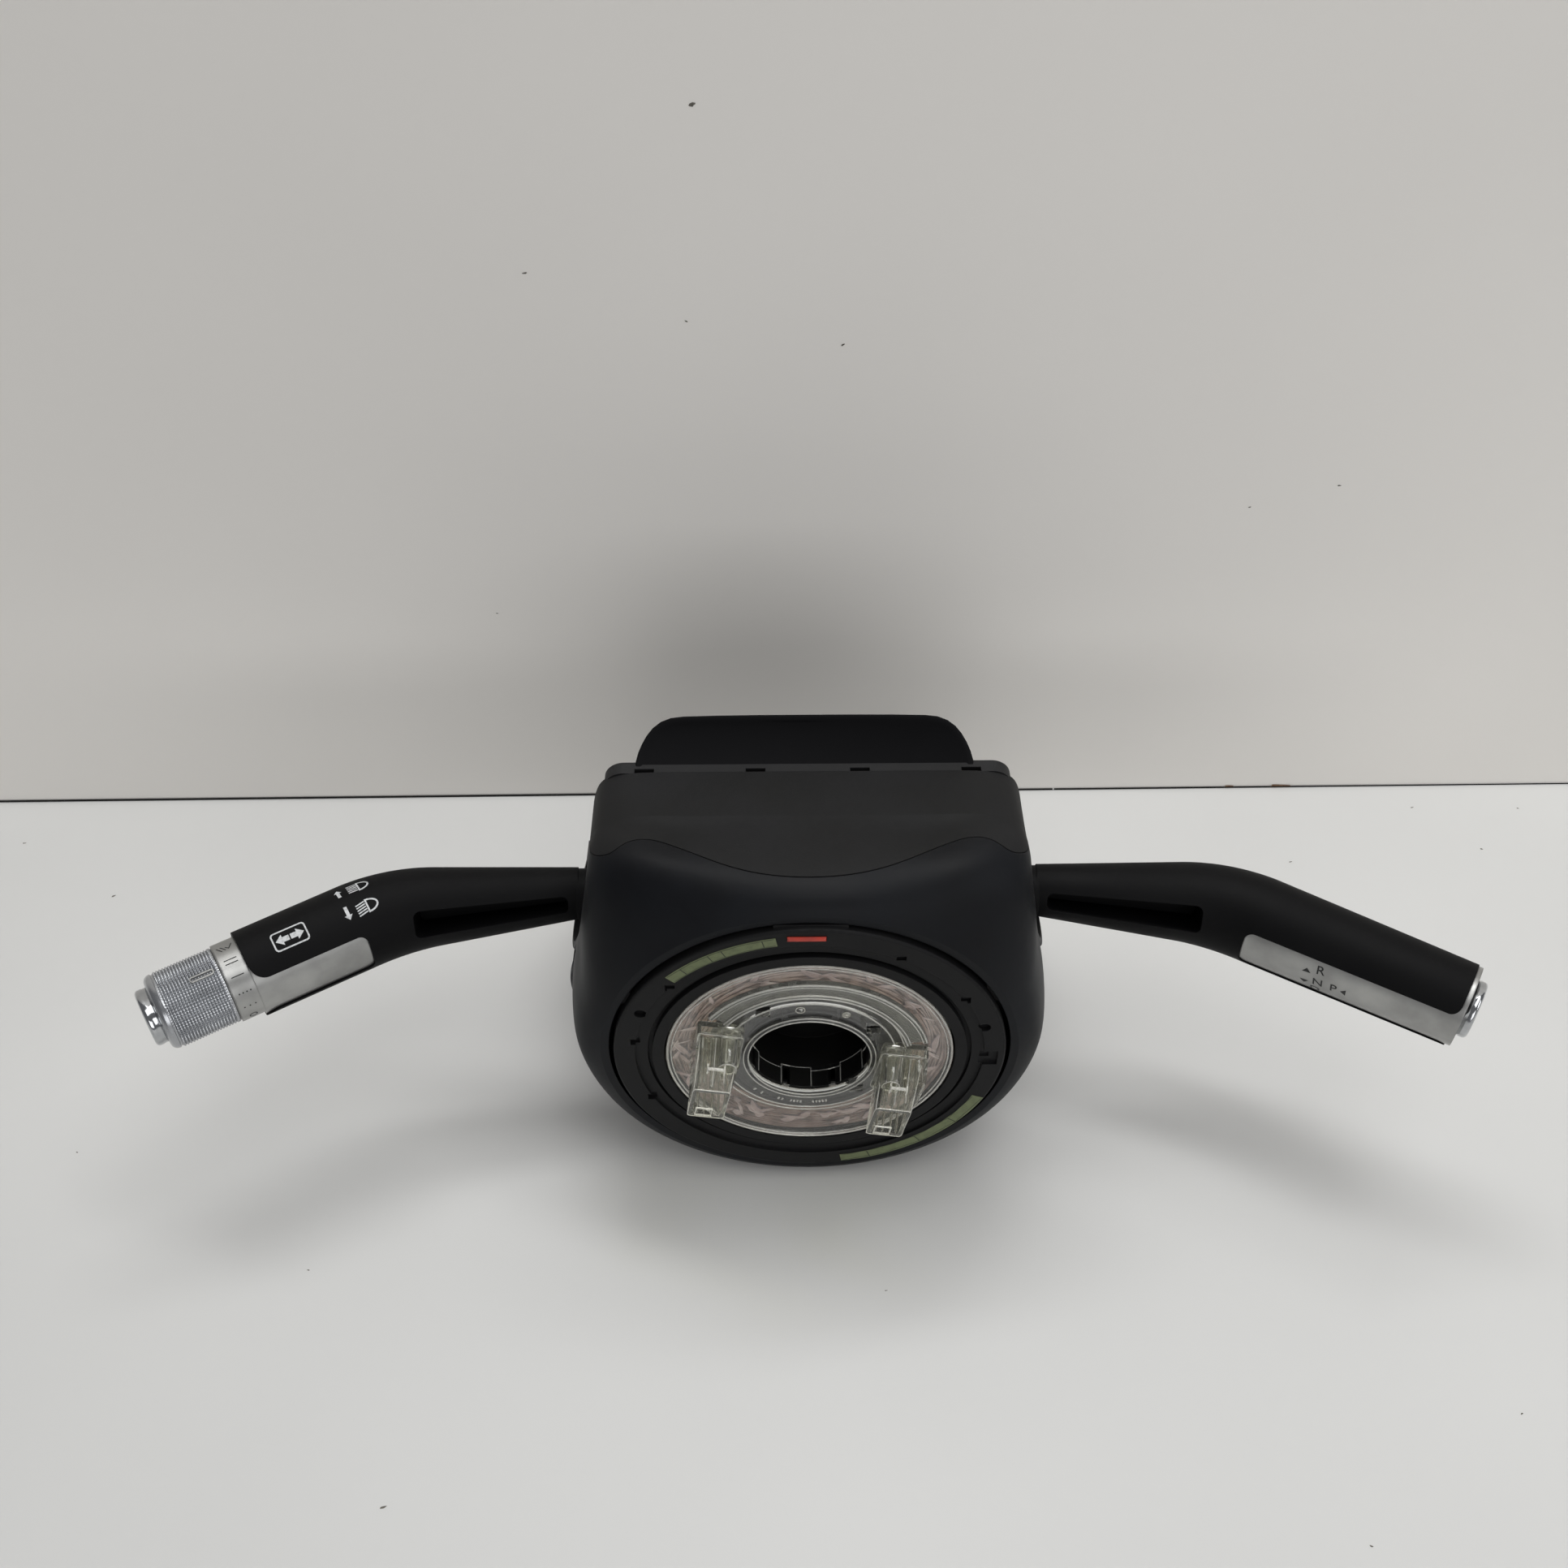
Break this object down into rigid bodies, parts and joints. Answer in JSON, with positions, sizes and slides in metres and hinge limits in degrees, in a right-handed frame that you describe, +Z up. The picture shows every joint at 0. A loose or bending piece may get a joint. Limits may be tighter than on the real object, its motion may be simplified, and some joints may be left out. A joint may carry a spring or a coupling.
{
  "type": "combination stalk switch",
  "caption": "Steering column switch module: indicator and wiper stalk on the left, gear selector stalk on the right, clear clock spring rotor and a two-part shroud.",
  "frame": {"origin": "steering axis where it crosses the front face of the clock spring ring", "axes": "+X to the right as the driver sees it, +Y forwards along the steering axis away from the driver, +Z up; the module rests on the flat under its shroud"},
  "size_m": [0.3859, 0.128, 0.138],
  "materials": {
    "shroud_grained": "fine grained dark grey plastic",
    "shroud_smooth": "smooth satin blue-black plastic",
    "cover_black": "matte black plastic",
    "ring_black": "moulded black plastic",
    "index_red": "red plastic",
    "clear_plastic": "clear, slightly yellowed plastic",
    "ribbon_brown": "brown flat cable",
    "sleeve_black": "black plastic",
    "gear_white": "white gear plastic",
    "housing_black": "glass-filled black plastic",
    "steel": "zinc-plated steel",
    "board_green": "green solder mask",
    "chip_black": "black moulded packages",
    "gimbal_grey": "grey bearing plastic",
    "stalk_black": "soft-touch black plastic",
    "satin_silver": "satin silver paint",
    "knob_silver": "satin silver knurled finish",
    "insert_chrome": "polished chrome"
  },
  "bodies": {
    "column_module": {"lower_shroud": "shroud_smooth", "upper_shroud": "shroud_grained", "gap_cover_frame": "cover_black", "gap_cover": "cover_black", "blanking_plug": "cover_black", "front_ring": "ring_black", "red_index_tab": "index_red", "cable_cup": "ring_black", "ribbon_cable": "ribbon_brown", "module_housing": "housing_black", "housing_screws": "steel", "circuit_board": "board_green", "board_chips": "chip_black", "harness_header": "housing_black", "rear_cover": "housing_black", "column_clamp": "steel", "clamp_screw": "steel", "switch_case_left": "housing_black", "selector_case_right": "housing_black"},
    "rotor": {"rotor_disc": "clear_plastic", "rotor_carrier": "clear_plastic", "tower_left": "clear_plastic", "tower_right": "clear_plastic", "drive_sleeve": "sleeve_black", "rotor_gear": "sleeve_black"},
    "measuring_wheel_1": {"measuring_gear_1": "gear_white"},
    "measuring_wheel_2": {"measuring_gear_2": "gear_white"},
    "left_pivot": {"left_gimbal": "gimbal_grey", "gimbal_pin": "steel"},
    "left_stalk": {"left_arm": "stalk_black", "left_dome": "stalk_black", "left_trim": "satin_silver"},
    "wiper_knob": {"left_knob": "knob_silver"},
    "washer_button": {"left_button": "knob_silver", "left_button_insert": "insert_chrome"},
    "right_stalk": {"right_arm": "stalk_black", "right_dome": "stalk_black", "right_trim": "satin_silver", "right_pivot_pin": "steel"},
    "park_button": {"right_button": "knob_silver", "right_button_insert": "insert_chrome"}
  },
  "joints": [
    {"name": "rotor_turn", "type": "hinge", "parent": "column_module", "child": "rotor", "pos_m": [0, 0, 0], "axis": [0, 1, 0], "range_deg": [-900, 900]},
    {"name": "measuring_turn_1", "type": "hinge", "parent": "column_module", "child": "measuring_wheel_1", "pos_m": [-0.02024, 0.017, 0.02638], "axis": [0, 1, 0], "range_deg": [-2405, 2405]},
    {"name": "measuring_turn_2", "type": "hinge", "parent": "column_module", "child": "measuring_wheel_2", "pos_m": [0.01963, 0.017, 0.02559], "axis": [0, 1, 0], "range_deg": [-2705, 2705]},
    {"name": "left_up_down", "type": "hinge", "parent": "column_module", "child": "left_pivot", "pos_m": [-0.048, 0.05, 0.015], "axis": [0, 1, 0], "range_deg": [-7, 7], "stiffness_Nm_per_rad": 12},
    {"name": "left_push_pull", "type": "hinge", "parent": "left_pivot", "child": "left_stalk", "pos_m": [-0.048, 0.05, 0.015], "axis": [0, 0, 1], "range_deg": [-5, 5], "stiffness_Nm_per_rad": 12},
    {"name": "wiper_knob_turn", "type": "hinge", "parent": "left_stalk", "child": "wiper_knob", "pos_m": [-0.17295, 0.0135, 0.015], "axis": [-0.8462, -0.5329, 0], "range_deg": [-100, 25]},
    {"name": "washer_button_press", "type": "slide", "parent": "left_stalk", "child": "washer_button", "axis": [0.8462, 0.5329, 0], "range_m": [0, 0.0015], "stiffness_N_per_m": 900, "springref_m": -0.002},
    {"name": "right_up_down", "type": "hinge", "parent": "column_module", "child": "right_stalk", "pos_m": [0.048, 0.05, 0.015], "axis": [0, 1, 0], "range_deg": [-7, 7], "stiffness_Nm_per_rad": 12},
    {"name": "park_button_press", "type": "slide", "parent": "right_stalk", "child": "park_button", "axis": [-0.8462, 0.5329, 0], "range_m": [0, 0.0015], "stiffness_N_per_m": 900, "springref_m": -0.002}
  ],
  "couplings": [
    {"joint": "measuring_turn_1", "follows": "rotor_turn", "ratio": -2.6667},
    {"joint": "measuring_turn_2", "follows": "rotor_turn", "ratio": -3}
  ]
}
